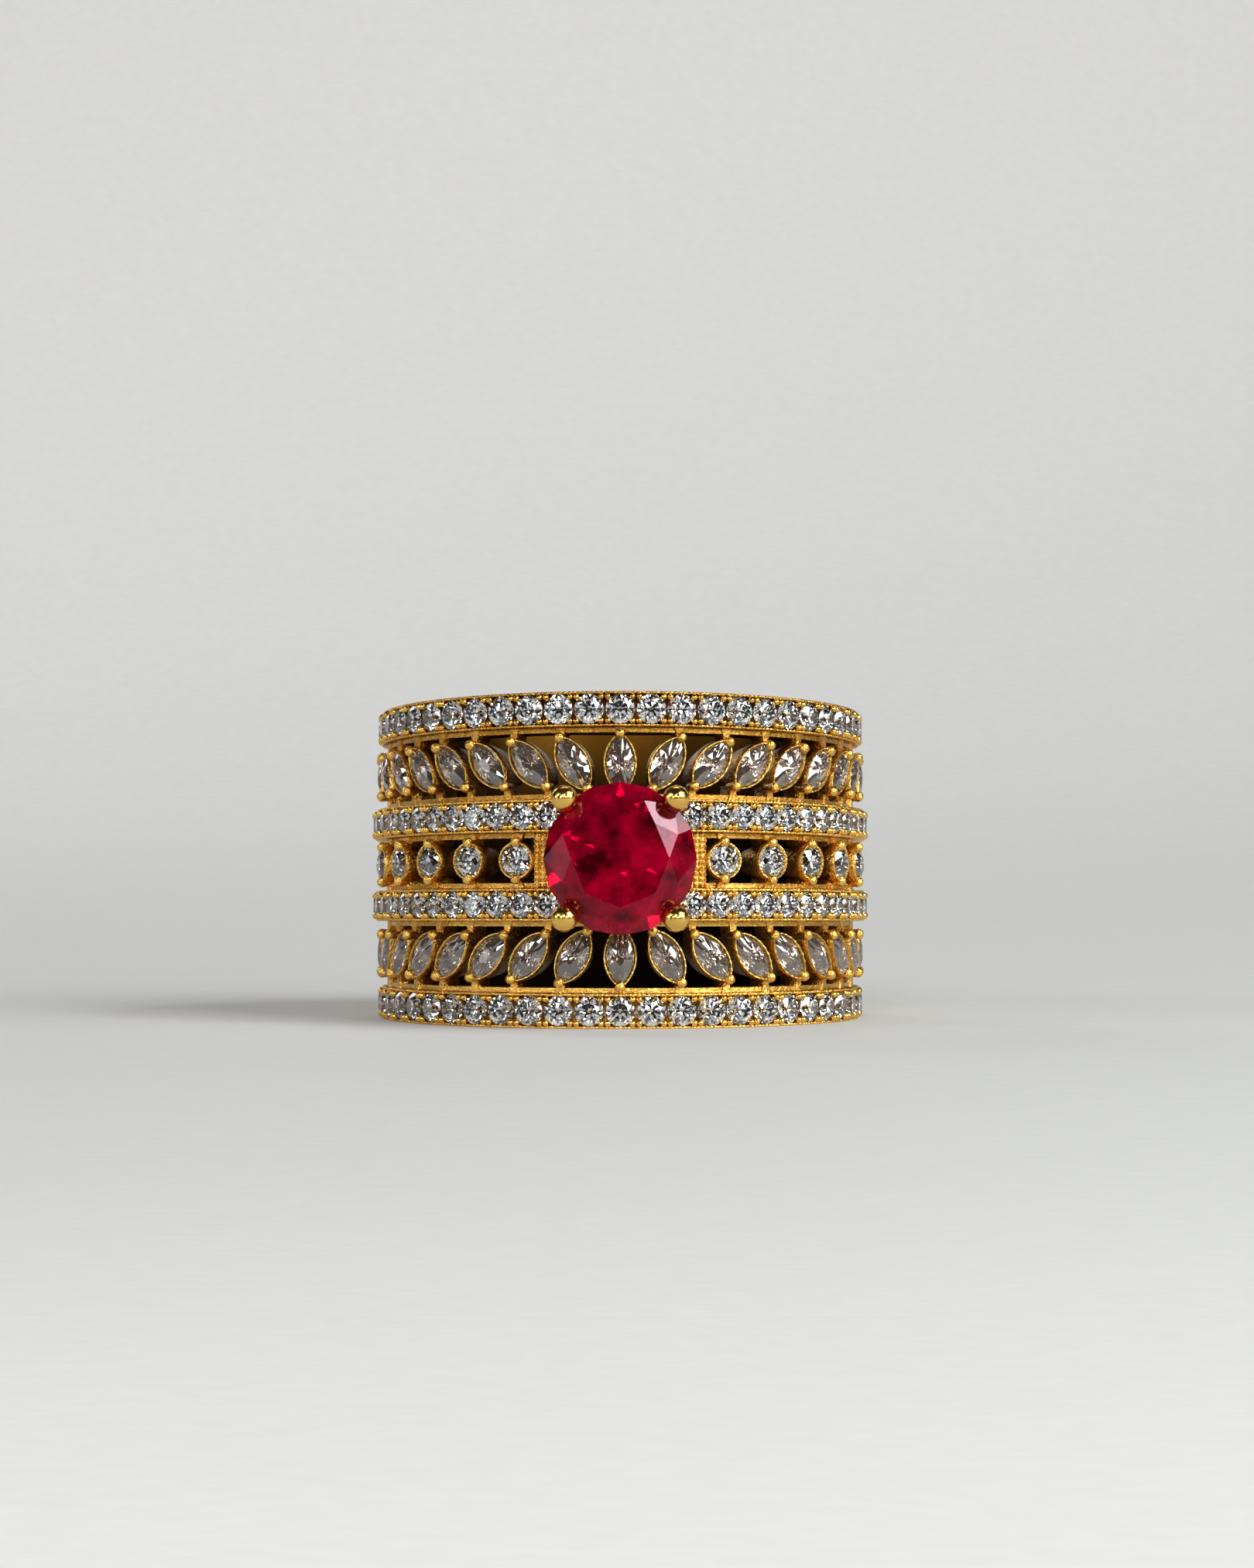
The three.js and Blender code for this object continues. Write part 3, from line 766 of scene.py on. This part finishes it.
def ruby_head():
    """The collar as a rounded band on edge, and four claws with their balls, one in each corner."""
    low, high = COLLAR["low"] - RUBY["girdle_at"], COLLAR["high"] - RUBY["girdle_at"]
    middle, wall = (COLLAR["inner"] + COLLAR["outer"]) / 2, (COLLAR["outer"] - COLLAR["inner"]) / 2
    turn = np.arange(16) * np.pi / 8
    across = np.sign(np.cos(turn)) * np.abs(np.cos(turn)) ** 0.5
    upward = np.sign(np.sin(turn)) * np.abs(np.sin(turn)) ** 0.5
    out = middle + wall * across
    level = (low + high) / 2 + (high - low) / 2 * upward
    spin = np.linspace(0, 2 * np.pi, 49)[:-1, None]
    sections = np.stack([out * np.cos(spin), out * np.sin(spin), level + 0 * spin], axis=-1)
    shells = [loft(sections, loop=True)]
    for corner in (47, 133, 227, 313):
        shells.append(turned(claw(), corner))
        shells.append(turned(ball(BALL["radius"], [BALL["from_axis"], 0, BALL["above_girdle"]]), corner))
    return [copies(shell, seats(0, RUBY["girdle_at"])) for shell in shells]


make_piece("ruby_claws_and_collar", ruby_head(), satin_gold, ["ruby_head"])
ruby_cut = brilliant(RUBY["table"], RUBY["crown"], RUBY["pavilion"], girdle=0.02, lower=0.35)
ruby = copies(shaped(ruby_cut, 2 * RUBY["radius"], 2 * RUBY["radius"]), seats(0, RUBY["girdle_at"]))
make_piece("ruby_cut", [ruby], ruby_stone, ["centre_ruby"], True)

# %% [markdown]
# ## The palm shank
#
# The back of the ring is plain: a domed bar that carries on between the band's two tapering planes, so its
# edges run straight into the rails'. Its section is a rounded box at every angle, and its outer face is
# crowned by a parabola. Rounding the edges in the formula saves a bevel modifier.

# %% Shank
SHANK = {"crest": 10.3, "shoulder": 9.8, "edge": 0.3, "bore_edge": 0.1}


def shank():
    """Sections of a crowned bar with rounded edges, as tall as the band at every angle."""
    angles = np.linspace(DECOR_ANGLE + 0.2, 360 - DECOR_ANGLE - 0.2, 161)
    turn = np.radians(angles)[:, None]
    half = np.full_like(turn, BAND_EDGE)
    edge, bore_edge = SHANK["edge"], SHANK["bore_edge"]
    corner = np.radians(np.linspace(-90, 0, 6))
    rise = np.radians(np.linspace(0, 90, 6))
    low = np.stack([np.cos(corner) - 1, np.sin(corner) + 1]) * bore_edge
    high = np.stack([np.cos(rise) - 1, np.sin(rise) - 1]) * edge
    shoulder = SHANK["shoulder"]
    crown = np.linspace(1, 0, 9)[1:]
    offset = np.hstack([half + low[0], half + high[0], (half - edge) * crown])
    crest = (SHANK["crest"] - shoulder) * (1 - crown ** 2)
    out = np.hstack([FINGER_RADIUS + low[1], shoulder + high[1], shoulder + crest]) + 0 * half
    offset = np.hstack([offset, -offset[:, -2::-1]])
    out = np.hstack([out, out[:, -2::-1]])
    return loft(swept((offset, out), shoulder, angles, 0))


make_piece("palm_band", [shank()], polished_gold, ["palm_shank"])

# %% [markdown]
# ## Floor
#
# The floor is a plain pale sheet. It could be a flat plane with a wall behind it, but their join would show
# as a line, so the sheet rises past a bend at the back and at the sides, like a studio's paper sweep.

# %% Floor
def floor():
    """A flat sheet that rises at the back and sides: height grows as the square of the way past a bend."""
    columns, rows = 41, 61
    x, y = np.meshgrid(np.linspace(-0.6, 0.6, columns), np.linspace(-0.5, 0.7, rows))
    back_bend, side_bend = 0.25, 0.42
    z = 1.6 * np.clip(y - back_bend, 0, None) ** 2 + 4 * np.clip(np.abs(x) - side_bend, 0, None) ** 2
    points = np.stack([x, y, z], axis=-1).reshape(-1, 3)
    first = (np.arange(rows - 1)[:, None] * columns + np.arange(columns - 1)).ravel()
    corners = [first, first + 1, first + columns + 1, first + columns]
    mesh = bpy.data.meshes.new("floor")
    mesh.from_pydata(points.tolist(), [], np.stack(corners, axis=-1).tolist())
    mesh.shade_smooth()
    darker, paler = (0.65, 0.64, 0.63), (0.67, 0.66, 0.65)
    material, tree, shader = new_material("pale_paper", darker, 0.7)
    fibres = noise(tree, 900, 3)
    drift = colours(tree, fibres.outputs["Fac"], darker, paler)
    tree.links.new(drift, shader.inputs["Base Color"])
    mesh.materials.append(material)
    sheet = bpy.data.objects.new("floor", mesh)
    bpy.context.collection.objects.link(sheet)
    print(f"floor: {len(points)} points")


floor()

# %% [markdown]
# ## Lights
#
# Jewellery is lit by what it reflects. A large soft box high on the right puts a pale edge on each bead, and
# a smaller one above the camera puts a highlight on each claw ball. The room itself is kept dim so that the
# openwork and the recesses stay dark. A row of narrow strips round the front wakes the small facets: a flat
# facet shows a single direction of the room, so each strip lights a few facets in every stone. All of them
# stand above the direction that the stones' tables mirror, or a whole stone would turn white. For the same
# reason three small lamps stand exactly where the ruby's upper right facets mirror the camera. That
# direction is r = 2 (n.v) n - v for a facet's normal n and the direction v to the camera. The other lamps
# draw the left side, rim the shank from the back left, and wash the paper behind the ring.

# %% Lamps and room
RING_MIDDLE = (0, 0, 0.007)
WARM, COOL = (1.0, 0.98, 0.95), (0.95, 0.97, 1.0)


def lamp(name, place, wide, tall, power, colour=(1, 1, 1), target=RING_MIDDLE):
    """A soft box that looks at the ring, or at another target."""
    data = bpy.data.lights.new(name, "AREA")
    data.shape = "RECTANGLE"
    data.size, data.size_y = wide, tall
    data.energy = power
    data.color = colour
    light = bpy.data.objects.new(name, data)
    light.location = place
    aim = Vector(target) - Vector(place)
    light.rotation_euler = aim.to_track_quat("-Z", "Y").to_euler()
    bpy.context.collection.objects.link(light)


lamp("window_right", (0.27, -0.19, 0.222), 0.20, 0.26, 1.0, WARM)
lamp("key_above", (-0.04, -0.38, 0.20), 0.10, 0.06, 0.3, WARM)
lamp("strip_left", (-0.34, -0.14, 0.12), 0.07, 0.34, 0.1, COOL)
lamp("back_left", (-0.25, 0.32, 0.22), 0.14, 0.2, 0.25)
lamp("wash", (0, 0.2, 0.5), 0.3, 0.1, 2.0, target=(0, 0.7, 0.2))

RUBY_CENTRE = np.array([0, -0.012, 0.007])
GLINT_DISTANCE, GLINT_SIDE, GLINT_COLOUR = 0.38, 0.05, (0.72, 1.0, 1.0)
GLINTS = {
    "kite_glint": ((0.66, -0.26, 0.70), 0.14),
    "star_glint": ((0.59, -0.75, 0.31), 0.12),
    "edge_glint": ((0.82, 0.03, 0.57), 0.07),
}
for name, (way, power) in GLINTS.items():
    lamp(name, RUBY_CENTRE + GLINT_DISTANCE * np.array(way), GLINT_SIDE, GLINT_SIDE, power, GLINT_COLOUR)

STRIP_COUNT, STRIP_STEP, STRIP_DISTANCE, STRIP_POWER = 14, 12, 0.42, 0.085
STRIP_WIDE, STRIP_TALL, STRIP_LOWEST, STRIP_RISE = 0.022, 0.06, 0.11, 0.06
for number in range(STRIP_COUNT):
    turn = np.radians(STRIP_STEP * (number - (STRIP_COUNT - 1) / 2))
    rise = STRIP_LOWEST + STRIP_RISE * (number % 4)
    place = (STRIP_DISTANCE * np.sin(turn), -STRIP_DISTANCE * np.cos(turn), rise)
    lamp(f"strip_{number}", place, STRIP_WIDE, STRIP_TALL, STRIP_POWER)

world = bpy.data.worlds.new("room")
world.use_nodes = True
world.node_tree.nodes["Background"].inputs["Color"].default_value = (0.9, 0.94, 1.0, 1)
world.node_tree.nodes["Background"].inputs["Strength"].default_value = 0.03
bpy.context.scene.world = world
bpy.context.scene.view_settings.view_transform = "Standard"
print("lamps:", len(bpy.data.lights))

# %% [markdown]
# ## Camera
#
# A long lens from about a third of a metre keeps the band's rails nearly parallel, as a macro lens does. It
# looks very slightly down, and aims above the ring's middle, so that the ring sits low in an upright frame.

# %% Camera
camera_data = bpy.data.cameras.new("camera")
camera_data.lens = 171
camera_data.sensor_width = 36
camera = bpy.data.objects.new("camera", camera_data)
bpy.context.collection.objects.link(camera)
ring_middle = np.array([0, AXIS_Y, AXIS_Z]) * MM
distance, rise = 0.327, np.radians(1.7)
camera.location = ring_middle + distance * np.array([0, -np.cos(rise), np.sin(rise)])
aim = Vector(ring_middle + np.array([0.0003, 0, 0.0036])) - camera.location
camera.rotation_euler = aim.to_track_quat("-Z", "Y").to_euler()
bpy.context.scene.camera = camera
print(f"camera: {distance * 1000:.0f} mm away, {np.degrees(rise):.1f} degrees up")
